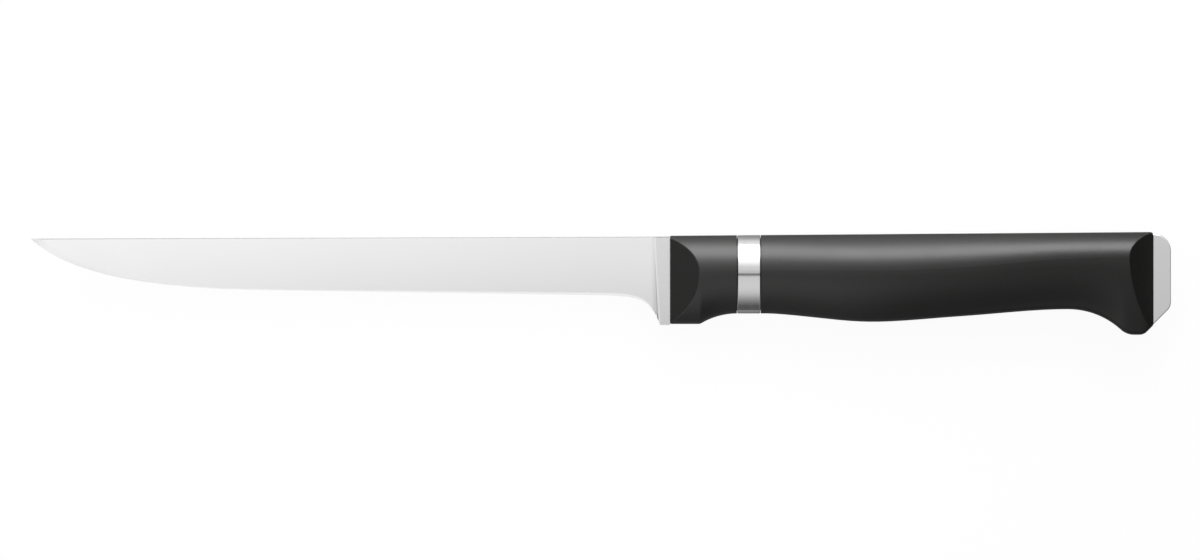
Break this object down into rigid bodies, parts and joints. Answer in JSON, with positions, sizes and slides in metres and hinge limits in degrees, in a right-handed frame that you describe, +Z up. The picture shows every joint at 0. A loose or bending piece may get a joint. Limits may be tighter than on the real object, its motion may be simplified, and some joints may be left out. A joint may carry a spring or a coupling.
{
  "type": "fillet knife",
  "caption": "Slim fillet knife with a rigid ground blade, ferrule ring and moulded handle with a hooked butt, lying on its side.",
  "frame": {"origin": "centre of the bounding box's underside, on the surface that the knife lies on", "axes": "+X from the tip of the blade to the butt, +Y from the cutting edge to the spine, +Z up, out of the left side of the knife"},
  "size_m": [0.321, 0.029, 0.0182],
  "materials": {
    "blade_steel": "fine satin, ground across the blade",
    "ring_steel": "brushed round the handle",
    "handle_plastic": "satin moulded",
    "pin_steel": "ground"
  },
  "bodies": {
    "root": {"blade": "blade_steel", "collar_left": "handle_plastic", "collar_right": "handle_plastic", "ring": "ring_steel", "grip_left": "handle_plastic", "grip_right": "handle_plastic", "collar_pin": "pin_steel", "grip_pins": "pin_steel"}
  },
  "joints": []
}
